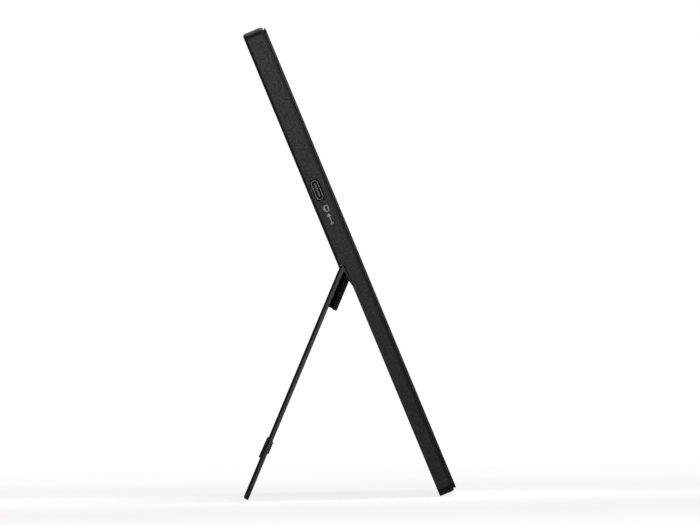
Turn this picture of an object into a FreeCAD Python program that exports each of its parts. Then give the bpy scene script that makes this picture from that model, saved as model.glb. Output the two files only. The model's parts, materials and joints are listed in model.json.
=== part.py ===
import FreeCAD, Part
import math
import operator
import os
from types import SimpleNamespace

import Sketcher

# A portable monitor: a thin slab that leans back on a flap hinged across the middle of its back.
# Each piece is drawn in one of two frames and placed at the end.
# Slab frame: X to the viewer's right, Y from the screen's face to the back, Z up from the lower edge.
# Stand frame: the same directions with the flap closed, measured from the hinge axis.

doc = FreeCAD.newDocument("PortableMonitor")
sheet = doc.addObject("Spreadsheet::Sheet", "Sizes")

# Driving dimensions in millimetres, with the flap's opening in degrees
driving = {
    # lit area of the screen and the borders around it
    "active_width": 344.16,
    "active_height": 193.59,
    "side_border": 7.92,
    "top_border": 7.9,
    "chin_border": 24.51,
    # layers of the slab, from the screen's face to the back
    "bezel_lip": 0.55,
    "tape_thick": 0.1,
    "cell_thick": 1.0,
    "film_thick": 0.45,
    "guide_thick": 0.7,
    "reflector_thick": 0.15,
    "tray_thick": 0.3,
    "panel_pad": 0.2,
    "pocket_wall": 0.65,
    "pocket_clear": 0.3,
    "block_thick": 4.0,
    "stand_thick": 2.4,
    # casing
    "corner_radius": 4.0,
    "inner_radius": 1.6,
    "back_round": 1.5,
    "front_bevel": 0.35,
    "front_bevel_deep": 1.25,
    "heel_round": 0.4,
    "side_wall": 2.4,
    "back_wall": 1.2,
    "floor_wall": 1.3,
    "end_wall": 1.2,
    # front frame
    "bezel_rim": 0.97,
    "bezel_groove": 0.28,
    "bezel_inset": 1.1,
    "groove_inset": 1.7,
    "sill_inset": 1.22,
    "bezel_round": 0.4,
    "window_margin": 0.35,
    "window_bevel": 0.25,
    "tab_thick": 0.9,
    "tab_width": 12.0,
    "tab_length": 2.4,
    "tab_clear": 0.1,
    "tab_from_top": 22.0,
    "tab_above_chin": 36.0,
    "tab_spread": 130.0,
    # screen module
    "panel_gap": 2.25,
    "panel_seat": 0.2,
    "panel_foot": 8.4,
    "tray_wall": 0.3,
    "layer_clear": 0.1,
    "film_foot": 3.2,
    "led_tall": 1.2,
    "led_end": 4.0,
    "driver_length": 250.0,
    "driver_thick": 1.0,
    "driver_gap": 0.5,
    "flex_width": 32.0,
    "flex_pitch": 58.0,
    "flex_thick": 0.12,
    "flex_lap": 2.0,
    # hinge line and the step that the flap closes into
    "hinge_from_top": 114.2,
    "hinge_spread": 105.0,
    "end_gap": 0.3,
    "recess_clear": 0.15,
    # flap
    "stand_open": 45.2,
    "stand_side": 0.6,
    "stand_edge": 0.6,
    "foot_past": 0.85,
    "foot_height": 2.7,
    "foot_round": 1.1,
    "foot_corner": 2.2,
    "foot_key": 2.0,
    "foot_key_thick": 0.9,
    "foot_fit": 0.03,
    "grip_above_foot": 23.2,
    "grip_span": 110.0,
    "grip_seat": 0.4,
    "grip_round": 0.25,
    "outer_grip": 9.2,
    "outer_grip_top": 0.6,
    "outer_grip_low": 0.8,
    "inner_grip": 5.0,
    "inner_grip_proud": 0.5,
    "inner_grip_up": 0.8,
    "grip_clear": 0.3,
    "groove_cheek": 1.2,
    # hinges
    "pin_radius": 0.6,
    "pin_fit": 0.03,
    "pin_end": 0.2,
    "pin_bevel": 0.15,
    "knuckle_inset": 0.075,
    "knuckle_bed": 0.08,
    "fixed_knuckle": 10.0,
    "moving_knuckle": 5.0,
    "knuckle_gap": 0.3,
    "washer_thick": 0.2,
    "leaf_thick": 0.6,
    "leaf_length": 14.0,
    "leaf_fit": 0.05,
    "notch_clear": 0.45,
    "bracket_length": 13.0,
    "slot_clear": 0.3,
    "seat_rim": 0.3,
    "seat_edge": 1.0,
    "bracket_screw_low": 3.5,
    "bracket_screw_pitch": 6.0,
    "leaf_screw_spread": 6.5,
    "leaf_screw_drop": 8.0,
    # hinge blocks and the pockets that take them
    "block_cap": 2.2,
    "block_width": 34.0,
    "block_top": 0.1,
    "block_length": 18.8,
    "block_scoop": 0.2,
    "block_step": 1.5,
    "block_toe": 0.35,
    "block_cheek_drop": 2.9,
    "block_cheek": 3.6,
    "block_round": 0.5,
    "pocket_side": 0.8,
    "pocket_swing": 1.1,
    "pocket_cheek": 1.2,
    # socket in the left edge
    "port_above_hinge": 36.7,
    "port_depth": 4.3,
    "port_recess": 0.4,
    "port_width": 8.94,
    "port_thick": 3.26,
    "port_length": 7.35,
    "port_wall": 0.3,
    "port_corner": 1.3,
    "port_wing": 1.3,
    "port_clear": 0.2,
    "port_fit": 0.04,
    "opening_width": 10.4,
    "opening_thick": 4.2,
    "opening_bevel": 0.3,
    "blade_thick": 0.7,
    "blade_width": 6.7,
    "blade_set_back": 0.9,
    "blade_root": 1.8,
    "contact_width": 0.25,
    "contact_pitch": 0.5,
    "contact_thick": 0.05,
    "contact_length": 3.4,
    # boards and cables
    "board_thick": 1.0,
    "board_width": 60.0,
    "board_above": 27.0,
    "board_gap": 0.8,
    "board_edge": 0.8,
    "boss_inset": 4.0,
    "boss_radius": 2.2,
    "chin_boss_clear": 0.3,
    "chin_boss_spread": 85.0,
    "chin_boss_end": 9.0,
    "shield_inboard": 26.0,
    "shield_above_port": 11.0,
    "shield_size": 22.0,
    "shield_tall": 2.0,
    "shield_wall": 0.2,
    "processor_size": 12.0,
    "processor_thick": 1.2,
    "coil_size": 5.0,
    "coil_thick": 1.9,
    "coil_gap": 3.0,
    "plug_width": 22.0,
    "plug_tall": 1.3,
    "plug_deep": 4.0,
    "plug_edge": 1.0,
    "cable_width": 18.0,
    "cable_thick": 0.3,
    "cable_bend": 4.0,
    "key_cable_above_hinge": 44.0,
    "key_cable_width": 6.0,
    "key_cable_thick": 0.2,
    "key_cable_lap": 3.0,
    # buttons in the right edge
    "key_above_hinge": 30.0,
    "key_pitch": 14.0,
    "key_length": 8.0,
    "key_width": 2.4,
    "key_corner": 1.1,
    "key_proud": 0.4,
    "key_clear": 0.15,
    "key_round": 0.3,
    "key_flange": 0.8,
    "key_flange_edge": 0.6,
    "key_flange_clear": 0.05,
    "key_stem": 0.6,
    "key_stem_radius": 0.8,
    "key_travel": 0.35,
    "key_stop": 0.1,
    "switch_depth": 3.5,
    "switch_length": 4.7,
    "switch_tall": 2.4,
    "key_board_width": 7.0,
    "key_board_end": 7.0,
    # fasteners
    "screw_radius": 0.8,
    "screw_head": 1.5,
    "screw_head_tall": 0.5,
    "screw_bite": 0.9,
    "board_screw_bite": 1.8,
    "shell_screw_radius": 1.0,
    "shell_screw_head": 1.8,
    "shell_screw_head_tall": 0.7,
    "shell_screw_bite": 3.6,
    "screw_fit": 0.04,
    "screw_sink": 0.1,
    "drive_width": 0.4,
    "drive_depth": 0.3,
}
for row, (alias, value) in enumerate(driving.items(), start=1):
    sheet.set("A%d" % row, alias.replace("_", " "))
    sheet.set("B%d" % row, str(value))
    sheet.setAlias("B%d" % row, alias)
doc.recompute()

# Pieces that come in rows
contact_count = 12
flex_count = 4
coil_count = 3
bracket_screw_count = 2

# Cuts run this far past the faces that they open
overshoot = 1.0
# Two edges closer than this lie in the same plane
same_plane = 0.001

operators = {"+": operator.add, "-": operator.sub, "*": operator.mul, "/": operator.truediv}


class Size:
    # A length and the formula that ties it to the sheet

    def __init__(self, value, formula):
        self.value = value
        self.formula = formula

    def __add__(self, other):
        return combine(self, "+", other)

    def __radd__(self, other):
        return combine(other, "+", self)

    def __sub__(self, other):
        return combine(self, "-", other)

    def __rsub__(self, other):
        return combine(other, "-", self)

    def __mul__(self, other):
        return combine(self, "*", other)

    def __truediv__(self, other):
        return combine(self, "/", other)

    def __neg__(self):
        return combine(0, "-", self)


def as_size(number):
    if isinstance(number, Size):
        return number
    return Size(float(number), repr(float(number)))


def combine(left, sign, right):
    left = as_size(left)
    right = as_size(right)
    value = operators[sign](left.value, right.value)
    return Size(value, "(%s %s %s)" % (left.formula, sign, right.formula))


def bind(target, path, size):
    target.setExpression(path, as_size(size).formula)


s = SimpleNamespace(**{alias: Size(float(sheet.get(alias)), "Sizes." + alias) for alias in driving})

# Outline of the slab
width = s.active_width + s.side_border * 2
height = s.active_height + s.top_border + s.chin_border
half_width = width / 2
inner_half = half_width - s.side_wall
inner_top = height - s.side_wall

# Depths, from the screen's face to the back
cell_front = s.bezel_lip + s.tape_thick
film_front = cell_front + s.cell_thick
guide_front = film_front + s.film_thick
reflector_front = guide_front + s.guide_thick
tray_front = reflector_front + s.reflector_thick
tray_back = tray_front + s.tray_thick
pocket_front = tray_back + s.panel_pad
pocket_floor = pocket_front + s.pocket_wall
depth = pocket_floor + s.pocket_clear + s.block_thick + s.stand_thick
rim_front = s.bezel_rim + s.bezel_groove
floor_back = depth - s.stand_thick - s.recess_clear
floor_front = floor_back - s.floor_wall
back_front = depth - s.back_wall
wall_middle = depth - s.back_wall / 2
floor_middle = floor_back - s.floor_wall / 2

# Screen module
panel_half = inner_half - s.panel_gap
panel_top = inner_top - s.panel_gap
panel_low = s.chin_border - s.panel_foot
cell_half = panel_half - s.tray_wall - s.layer_clear
cell_top = panel_top - s.tray_wall - s.layer_clear
cell_low = panel_low + s.tray_wall + s.layer_clear
window_half = s.active_width / 2 + s.window_margin
window_low = s.chin_border - s.window_margin
window_top = s.chin_border + s.active_height + s.window_margin

# Hinge line
axis_y = depth - s.stand_thick / 2
axis_z = height - s.hinge_from_top
hollow_radius = s.stand_thick / 2 + s.end_gap
deep_z = axis_z + hollow_radius + s.end_wall
knuckle_radius = s.stand_thick / 2 - s.knuckle_inset
fixed_radius = hollow_radius - s.knuckle_bed
bore_radius = s.pin_radius + s.pin_fit
fixed_half = s.fixed_knuckle / 2
moving_start = fixed_half + s.knuckle_gap
hinge_half = moving_start + s.moving_knuckle
bracket_front = axis_y - knuckle_radius
bracket_back = bracket_front + s.leaf_thick
bracket_top = deep_z + s.bracket_length
pocket_half = s.block_width / 2 + s.pocket_side
pocket_low = axis_z - s.block_top - s.block_length - s.pocket_swing
pocket_high = axis_z - s.block_top + s.pocket_clear
sides = (("left", -1), ("right", 1))

# Flap, in the stand frame
plate_out = s.stand_thick / 2
plate_in = -plate_out
stand_half = half_width - s.stand_side
reach = axis_z + s.foot_past
plate_end = s.foot_height - reach
grip_z = s.grip_above_foot - reach
inner_grip_z = grip_z + s.inner_grip_up
grip_half = s.grip_span / 2
leaf_face = plate_in + s.leaf_thick
notch_depth = knuckle_radius + s.notch_clear
block_face = plate_in - s.block_thick
block_low = -s.block_top - s.block_length
leaf_screw_z = -s.leaf_screw_drop

# Socket, boards and chin screws
port_y = depth - s.port_depth
port_z = axis_z + s.port_above_hinge
port_mouth = s.port_recess - half_width
port_back = port_mouth + s.port_length
board_back = port_y
board_front = board_back - s.board_thick
board_left = s.board_edge - inner_half
board_right = board_left + s.board_width
board_low = bracket_top + s.seat_edge + s.board_gap
board_top = port_z + s.board_above
boss_left = port_back + s.port_clear + s.boss_inset
boss_right = board_right - s.boss_inset
board_bosses = [(x, z) for x in (boss_left, boss_right) for z in (board_low + s.boss_inset, board_top - s.boss_inset)]
chin_boss_z = s.side_wall + s.chin_boss_clear + s.boss_radius
chin_boss_xs = [x * sense for x in (s.chin_boss_spread, inner_half - s.chin_boss_end) for sense in (-1, 1)]
driver_low = chin_boss_z + s.boss_radius + s.driver_gap
driver_top = panel_low - s.driver_gap
driver_back = rim_front + s.driver_thick
cable_x = boss_left + s.boss_radius + s.plug_edge + s.plug_width / 2
cable_top = board_low + s.plug_edge
cable_low = driver_low + s.plug_edge + s.plug_deep

# Buttons and the board behind them
key_names = ("down_button", "up_button", "menu_button", "power_button")
key_zs = [axis_z + s.key_above_hinge + s.key_pitch * number for number in range(len(key_names))]
flange_out = inner_half - s.key_flange_clear
flange_in = flange_out - s.key_flange
stem_in = flange_in - s.key_stem
switch_out = stem_in - s.key_travel - s.key_stop
switch_in = switch_out - s.switch_depth
key_board_back = port_y - s.switch_tall / 2
key_board_front = key_board_back - s.board_thick
key_board_in = switch_out - s.key_board_width
key_boss_x = key_board_in + s.boss_radius
key_bosses = [(key_boss_x, (key_zs[n] + key_zs[n + 1]) / 2) for n in (0, len(key_names) - 2)]

pieces = []


def keep(piece, frame):
    pieces.append((piece, frame))
    return piece


def new_body(label, frame):
    body = doc.addObject("PartDesign::Body", label)
    body.Label = label
    return keep(body, frame)


def rectangle(u_low, u_high, v_low, v_high):
    return [(u_high, v_low), (u_high, v_high), (u_low, v_high), (u_low, v_low)]


def rounded(u_low, u_high, v_low, v_high, radius):
    return [
        (u_high - radius, v_low),
        (u_high, v_low + radius, radius, 1),
        (u_high, v_high - radius),
        (u_high - radius, v_high, radius, 1),
        (u_low + radius, v_high),
        (u_low, v_high - radius, radius, 1),
        (u_low, v_low + radius),
        (u_low + radius, v_low, radius, 1),
    ]


def point(u, v):
    return FreeCAD.Vector(as_size(u).value, as_size(v).value, 0)


def held_at(shape, end, u, v):
    return [(Sketcher.Constraint("DistanceX", -1, 1, shape, end, as_size(u).value), u),
            (Sketcher.Constraint("DistanceY", -1, 1, shape, end, as_size(v).value), v)]


def held_radius(shape, radius):
    return [(Sketcher.Constraint("Radius", shape, as_size(radius).value), radius)]


def draw_circle(sketch, u, v, radius):
    circle = Part.Circle(point(u, v), FreeCAD.Vector(0, 0, 1), as_size(radius).value)
    shape = sketch.addGeometry(circle, False)
    return held_at(shape, 3, u, v) + held_radius(shape, radius)


def arc_between(begin, end, radius, turn):
    # The shorter arc; a turn of 1 runs counter-clockwise from begin to end
    chord = end - begin
    rise = math.sqrt(max(radius ** 2 - chord.Length ** 2 / 4, 0))
    normal = FreeCAD.Vector(-chord.y, chord.x, 0).normalize()
    centre = (begin + end) * 0.5 + normal * (rise * turn)
    first, last = (begin, end) if turn > 0 else (end, begin)
    start = math.atan2(first.y - centre.y, first.x - centre.x)
    stop = math.atan2(last.y - centre.y, last.x - centre.x)
    if stop < start:
        stop += 2 * math.pi
    return Part.ArcOfCircle(Part.Circle(centre, FreeCAD.Vector(0, 0, 1), radius), start, stop)


def draw_loop(sketch, corners):
    # A corner is (u, v) at the end of a straight run, or (u, v, radius, turn) at the end of an arc
    runs = []
    for number, corner in enumerate(corners):
        begin = point(*corners[number - 1][:2])
        end = point(*corner[:2])
        if len(corner) == 2:
            runs.append((sketch.addGeometry(Part.LineSegment(begin, end), False), 1, 2))
            continue
        radius, turn = corner[2:]
        shape = sketch.addGeometry(arc_between(begin, end, as_size(radius).value, turn), False)
        runs.append((shape, 1, 2) if turn > 0 else (shape, 2, 1))
    ties = []
    for number, corner in enumerate(corners):
        shape, _, last = runs[number]
        following, first, _ = runs[(number + 1) % len(runs)]
        ties.append((Sketcher.Constraint("Coincident", shape, last, following, first), None))
        ties += held_at(shape, last, corner[0], corner[1])
        if len(corner) > 2:
            ties += held_radius(shape, corner[2])
    return ties


def draw(sketch, outlines):
    # A circle is a tuple (u, v, radius), a closed loop is a list of corners
    ties = []
    for outline in outlines:
        ties += draw_circle(sketch, *outline) if isinstance(outline, tuple) else draw_loop(sketch, outline)
    sketch.addConstraint([constraint for constraint, _ in ties])
    for number, (_, size) in enumerate(ties):
        if size is not None:
            bind(sketch, "Constraints[%d]" % number, size)


# Origin plane square to each axis, and 1 where the plane faces along that axis
planes = {"X": ("YZ_Plane", 1), "Y": ("XZ_Plane", -1), "Z": ("XY_Plane", 1)}


def extrude(body, kind, name, axis, low, high, outlines):
    role, facing = planes[axis]
    before = body.Shape.Volume if body.Tip else 0
    sketch = body.newObject("Sketcher::SketchObject", name + "_sketch")
    sketch.AttachmentSupport = ([f for f in body.Origin.OriginFeatures if f.Role == role][0], [""])
    sketch.MapMode = "FlatFace"
    bind(sketch, "AttachmentOffset.Base.z", as_size(low) * facing)
    draw(sketch, outlines)
    feature = body.newObject("PartDesign::" + kind, name)
    feature.Profile = sketch
    bind(feature, "Length", as_size(high) - low)
    feature.Reversed = (facing < 0) == (kind == "Pad")
    doc.recompute()
    gained = body.Shape.Volume - before
    if (gained > 0) != (kind == "Pad") or gained == 0:
        raise RuntimeError("%s of %s changes nothing" % (name, body.Label))
    return feature


def pad(body, name, axis, low, high, *outlines):
    return extrude(body, "Pad", name, axis, low, high, outlines)


def cut(body, name, axis, low, high, *outlines):
    return extrude(body, "Pocket", name, axis, low, high, outlines)


def edges_at(**planes_met):
    # Edges that lie in every plane named, such as Y=depth
    def chosen(edge):
        box = edge.BoundBox
        for axis, size in planes_met.items():
            place = as_size(size).value
            if abs(getattr(box, axis + "Min") - place) > same_plane:
                return False
            if abs(getattr(box, axis + "Max") - place) > same_plane:
                return False
        return True
    return chosen


def dress(body, kind, name, dimension, size, chosen):
    base = body.Tip
    edges = ["Edge%d" % number for number, edge in enumerate(base.Shape.Edges, start=1) if chosen(edge)]
    feature = body.newObject("PartDesign::" + kind, name)
    feature.Base = (base, edges)
    bind(feature, dimension, size)
    doc.recompute()
    return feature


def fillet(body, name, radius, chosen):
    dress(body, "Fillet", name, "Radius", radius, chosen)


def chamfer(body, name, size, chosen):
    dress(body, "Chamfer", name, "Size", size, chosen)


def uneven_chamfer(body, name, size, second, chosen):
    feature = dress(body, "Chamfer", name, "Size", size, chosen)
    feature.ChamferType = "Two distances"
    bind(feature, "Size2", second)
    doc.recompute()


def box(name, x_low, x_high, y_low, y_high, z_low, z_high):
    solid = doc.addObject("Part::Box", name)
    bind(solid, "Length", as_size(x_high) - x_low)
    bind(solid, "Width", as_size(y_high) - y_low)
    bind(solid, "Height", as_size(z_high) - z_low)
    for axis, low in zip("xyz", (x_low, y_low, z_low)):
        bind(solid, "Placement.Base." + axis, low)
    return solid


# Turns that lay a primitive's own axis along X or Y
lay_along = {
    "X": FreeCAD.Rotation(FreeCAD.Vector(0, 1, 0), 90),
    "Y": FreeCAD.Rotation(FreeCAD.Vector(1, 0, 0), -90),
}


def cylinder(name, axis, radius, length, x, y, z):
    solid = doc.addObject("Part::Cylinder", name)
    solid.Placement = FreeCAD.Placement(FreeCAD.Vector(), lay_along[axis])
    bind(solid, "Radius", radius)
    bind(solid, "Height", length)
    for letter, place in zip("xyz", (x, y, z)):
        bind(solid, "Placement.Base." + letter, place)
    return solid


def group(label, solids, frame):
    compound = doc.addObject("Part::Compound", label)
    compound.Label = label
    compound.Links = solids
    return keep(compound, frame)


def screws(label, places, face, sense, radius, head_radius, head_tall, length, frame):
    # Cross-slotted screws along Y: the head's outer face at one depth, the shank to +Y or -Y of it
    solids = []
    for number, (x, z) in enumerate(places, start=1):
        name = "%s_%d" % (label, number)
        head_low = face if sense > 0 else face - head_tall
        shank_low = face if sense > 0 else face - head_tall - length
        head = cylinder(name + "_head", "Y", head_radius, head_tall, x, head_low, z)
        shank = cylinder(name + "_shank", "Y", radius, head_tall + length, x, shank_low, z)
        whole = doc.addObject("Part::MultiFuse", name + "_blank")
        whole.Shapes = [head, shank]
        slot_low = face if sense > 0 else face - s.drive_depth
        half_slot = s.drive_width / 2
        slots = doc.addObject("Part::MultiFuse", name + "_drive")
        slots.Shapes = [
            box(name + "_slot_a", x - radius, x + radius, slot_low, slot_low + s.drive_depth,
                z - half_slot, z + half_slot),
            box(name + "_slot_b", x - half_slot, x + half_slot, slot_low, slot_low + s.drive_depth,
                z - radius, z + radius),
        ]
        screw = doc.addObject("Part::Cut", name)
        screw.Base = whole
        screw.Tool = slots
        solids.append(screw)
    return group(label, solids, frame)


def both(outline):
    # The same outline at the left and the right hinge
    return [outline(s.hinge_spread * sense) for _, sense in sides]


def make_rear_shell():
    body = new_body("rear_shell", "slab")
    past = half_width + overshoot
    pad(body, "casing", "Y", rim_front, depth, rounded(-half_width, half_width, 0, height, s.corner_radius))
    uneven_chamfer(body, "front_bevel", s.front_bevel_deep, s.front_bevel, edges_at(Y=rim_front))
    fillet(body, "back_edges", s.back_round, edges_at(Y=depth))
    # step that the flap closes into, with a round hollow along the hinge line
    cut(body, "flap_step", "Y", floor_back, depth + overshoot, rectangle(-past, past, -overshoot, axis_z))
    fillet(body, "heel", s.heel_round, edges_at(Y=floor_back, Z=0))
    cut(body, "hinge_hollow", "X", -past, past, (axis_y, axis_z, hollow_radius))
    # inside: shallow behind the step, deep above the hinge line
    cut(body, "front_hollow", "Y", rim_front, floor_front,
        rounded(-inner_half, inner_half, s.side_wall, inner_top, s.inner_radius))
    cut(body, "upper_hollow", "Y", floor_front, back_front,
        rounded(-inner_half, inner_half, deep_z, inner_top, s.inner_radius))
    # pockets for the hinge blocks
    cheek = pocket_half + s.pocket_cheek
    pad(body, "pocket_walls", "Y", pocket_front, floor_middle,
        *both(lambda x: rectangle(x - cheek, x + cheek, pocket_low - s.pocket_cheek, pocket_high + s.pocket_cheek)))
    cut(body, "block_pockets", "Y", pocket_floor, floor_back + overshoot,
        *both(lambda x: rectangle(x - pocket_half, x + pocket_half, pocket_low, pocket_high)))
    # slots and seats for the hinge brackets
    slot_half = fixed_half + s.slot_clear
    cut(body, "bracket_slots", "Z", axis_z, deep_z + overshoot,
        *both(lambda x: rectangle(x - slot_half, x + slot_half, bracket_front - s.slot_clear,
                                  bracket_back + s.seat_rim)))
    seat_half = fixed_half + s.leaf_fit
    pad(body, "bracket_seats", "Y", bracket_back - s.seat_rim, wall_middle,
        *both(lambda x: rectangle(x - seat_half - s.seat_edge, x + seat_half + s.seat_edge, deep_z,
                                  bracket_top + s.seat_edge)))
    cut(body, "bracket_beds", "Y", bracket_front, bracket_back,
        *both(lambda x: rectangle(x - seat_half, x + seat_half, deep_z - overshoot, bracket_top + s.leaf_fit)))
    thread = s.screw_radius + s.screw_fit
    cut(body, "bracket_threads", "Y", bracket_back - s.seat_rim, bracket_back + s.screw_bite + s.screw_fit,
        *[(x, z, thread) for x, z in bracket_screw_places()])
    # bosses for the boards
    pad(body, "board_bosses", "Y", board_back, wall_middle, *[(x, z, s.boss_radius) for x, z in board_bosses])
    pad(body, "key_bosses", "Y", key_board_back, wall_middle, *[(x, z, s.boss_radius) for x, z in key_bosses])
    bite = s.board_screw_bite + s.screw_fit
    cut(body, "board_threads", "Y", board_back, board_back + bite, *[(x, z, thread) for x, z in board_bosses])
    cut(body, "key_threads", "Y", key_board_back, key_board_back + bite, *[(x, z, thread) for x, z in key_bosses])
    # groove for the flap's inner pad, backed by a rib
    groove_depth = s.inner_grip_proud - s.recess_clear + s.grip_clear
    groove_z = axis_z + inner_grip_z
    groove_half = s.inner_grip / 2 + s.grip_clear
    groove_end = grip_half + s.grip_clear
    rib_half = groove_half + s.groove_cheek
    rib_end = groove_end + s.groove_cheek
    pad(body, "groove_rib", "Y", floor_front - groove_depth, floor_middle,
        rectangle(-rib_end, rib_end, groove_z - rib_half, groove_z + rib_half))
    cut(body, "pad_groove", "Y", floor_back - groove_depth, floor_back + overshoot,
        rectangle(-groove_end, groove_end, groove_z - groove_half, groove_z + groove_half))
    # sunk holes for the chin screws
    hole = s.shell_screw_radius + s.screw_sink
    sink = s.shell_screw_head + s.screw_sink
    cut(body, "chin_holes", "Y", floor_front - overshoot, floor_back + overshoot,
        *[(x, chin_boss_z, hole) for x in chin_boss_xs])
    cut(body, "chin_sinks", "Y", floor_back - s.shell_screw_head_tall - s.screw_sink, floor_back + overshoot,
        *[(x, chin_boss_z, sink) for x in chin_boss_xs])
    # mouth of the socket in the left wall, and the button holes in the right wall
    mouth_y = s.opening_thick / 2
    mouth_z = s.opening_width / 2
    cut(body, "port_mouth", "X", -past, overshoot - inner_half,
        rounded(port_y - mouth_y, port_y + mouth_y, port_z - mouth_z, port_z + mouth_z,
                mouth_y - s.opening_bevel))
    key_y = s.key_width / 2 + s.key_clear
    key_z = s.key_length / 2 + s.key_clear
    cut(body, "key_holes", "X", inner_half - overshoot, past,
        *[rounded(port_y - key_y, port_y + key_y, z - key_z, z + key_z, s.key_corner) for z in key_zs])


def bracket_screw_places():
    first = deep_z + s.bracket_screw_low
    return [(s.hinge_spread * sense, first + s.bracket_screw_pitch * number)
            for _, sense in sides for number in range(bracket_screw_count)]


def leaf_screw_places():
    return [(s.hinge_spread * sense + s.leaf_screw_spread * way, leaf_screw_z)
            for _, sense in sides for way in (-1, 1)]


def make_front_bezel():
    body = new_body("front_bezel", "slab")
    outer = half_width - s.bezel_inset
    pad(body, "rim", "Y", 0, s.bezel_rim,
        rounded(-outer, outer, s.bezel_inset, height - s.bezel_inset, s.corner_radius - s.bezel_inset))
    fillet(body, "front_edge", s.bezel_round, edges_at(Y=0))
    # step behind the rim: it leaves a groove at the sides and the top, and closes it along the bottom
    step = half_width - s.groove_inset
    pad(body, "step", "Y", s.bezel_rim, rim_front,
        rounded(-step, step, s.sill_inset, height - s.groove_inset, s.corner_radius - s.groove_inset))
    seat = panel_half + s.panel_seat
    cut(body, "panel_seat", "Y", s.bezel_lip, rim_front + overshoot,
        rectangle(-seat, seat, panel_low - s.panel_seat, panel_top + s.panel_seat))
    cut(body, "window", "Y", -overshoot, rim_front,
        rectangle(-window_half, window_half, window_low, window_top))
    chamfer(body, "window_bevel", s.window_bevel, on_window_edge)
    # tabs that drop inside the casing's walls
    tab_out = inner_half - s.tab_clear
    tab_in = tab_out - s.tab_thick
    tab_high = inner_top - s.tab_clear
    half_tab = s.tab_width / 2
    levels = (s.chin_border + s.tab_above_chin, height - s.tab_from_top)
    side_tabs = [rectangle(x_low, x_high, z - half_tab, z + half_tab)
                 for x_low, x_high in ((-tab_out, -tab_in), (tab_in, tab_out)) for z in levels]
    top_tabs = [rectangle(s.tab_spread * sense - half_tab, s.tab_spread * sense + half_tab,
                          tab_high - s.tab_thick, tab_high) for sense in (-1, 0, 1)]
    pad(body, "tabs", "Y", s.bezel_rim, rim_front + s.tab_length, *(side_tabs + top_tabs))
    # bosses that take the chin screws
    boss_back = floor_front - s.chin_boss_clear
    pad(body, "chin_bosses", "Y", s.bezel_rim, boss_back, *[(x, chin_boss_z, s.boss_radius) for x in chin_boss_xs])
    thread = s.shell_screw_radius + s.screw_fit
    cut(body, "chin_threads", "Y", shell_screw_tip() - s.screw_fit, boss_back,
        *[(x, chin_boss_z, thread) for x in chin_boss_xs])


def shell_screw_tip():
    return floor_front - s.chin_boss_clear - s.shell_screw_bite


def on_window_edge(edge):
    box_round = edge.BoundBox
    inside = max(abs(box_round.XMin), abs(box_round.XMax)) < window_half.value + same_plane
    return inside and edges_at(Y=0)(edge)


def plate(label, x_half, y_low, y_high, z_low, z_high):
    body = new_body(label, "slab")
    pad(body, label + "_sheet", "Y", y_low, y_high, rectangle(-x_half, x_half, z_low, z_high))
    return body


def make_screen():
    plate("lcd_cell", cell_half, cell_front, film_front, cell_low, cell_top)
    film_half = cell_half - s.layer_clear
    film_top = cell_top - s.layer_clear
    film_low = cell_low + s.film_foot
    plate("diffuser_films", film_half, film_front, guide_front, film_low, film_top)
    led_low = film_low + s.layer_clear
    led_top = led_low + s.led_tall
    plate("light_guide", film_half, guide_front, reflector_front, led_top + s.layer_clear, film_top)
    plate("led_bar", film_half - s.led_end, guide_front, reflector_front, led_low, led_top)
    plate("reflector_sheet", film_half, reflector_front, tray_front, film_low, film_top)
    tape = plate("panel_tape", cell_half - s.layer_clear, s.bezel_lip, cell_front, cell_low + s.layer_clear, film_top)
    cut(tape, "tape_window", "Y", s.bezel_lip, cell_front + overshoot,
        rectangle(-window_half - s.layer_clear, window_half + s.layer_clear, window_low - s.layer_clear,
                  window_top + s.layer_clear))
    # the tray is open below, where the driver flexes come out
    tray = plate("panel_tray", panel_half, cell_front + s.panel_seat, tray_back, panel_low, panel_top)
    cut(tray, "tray_hollow", "Y", s.bezel_lip, tray_front,
        rectangle(s.tray_wall - panel_half, panel_half - s.tray_wall, panel_low - overshoot, panel_top - s.tray_wall))


def make_panel_pads():
    body = new_body("panel_pads", "slab")
    pad(body, "pads", "Y", tray_back, pocket_front,
        *both(lambda x: rectangle(x - pocket_half, x + pocket_half, pocket_low, axis_z)))


def make_driver():
    board = new_body("driver_board", "slab")
    left_end = cable_x - s.plug_width / 2 - s.plug_edge
    right_end = s.driver_length / 2
    pad(board, "driver", "Y", rim_front, driver_back, rectangle(left_end, right_end, driver_low, driver_top))
    # thin flexes step back from the glass to the driver board
    flexes = new_body("driver_flexes", "slab")
    thick = s.flex_thick
    lap_top = cell_low + s.flex_lap
    lap_low = driver_top - s.flex_lap
    profile = [
        (film_front, lap_top),
        (film_front, cell_low),
        (driver_back, driver_top),
        (driver_back, lap_low),
        (driver_back + thick, lap_low),
        (driver_back + thick, driver_top + thick),
        (film_front + thick, cell_low + thick),
        (film_front + thick, lap_top),
    ]
    for number in range(flex_count):
        left = s.flex_pitch * (number - (flex_count - 1) / 2) - s.flex_width / 2
        pad(flexes, "flex_%d" % (number + 1), "X", left, left + s.flex_width, profile)


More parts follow.
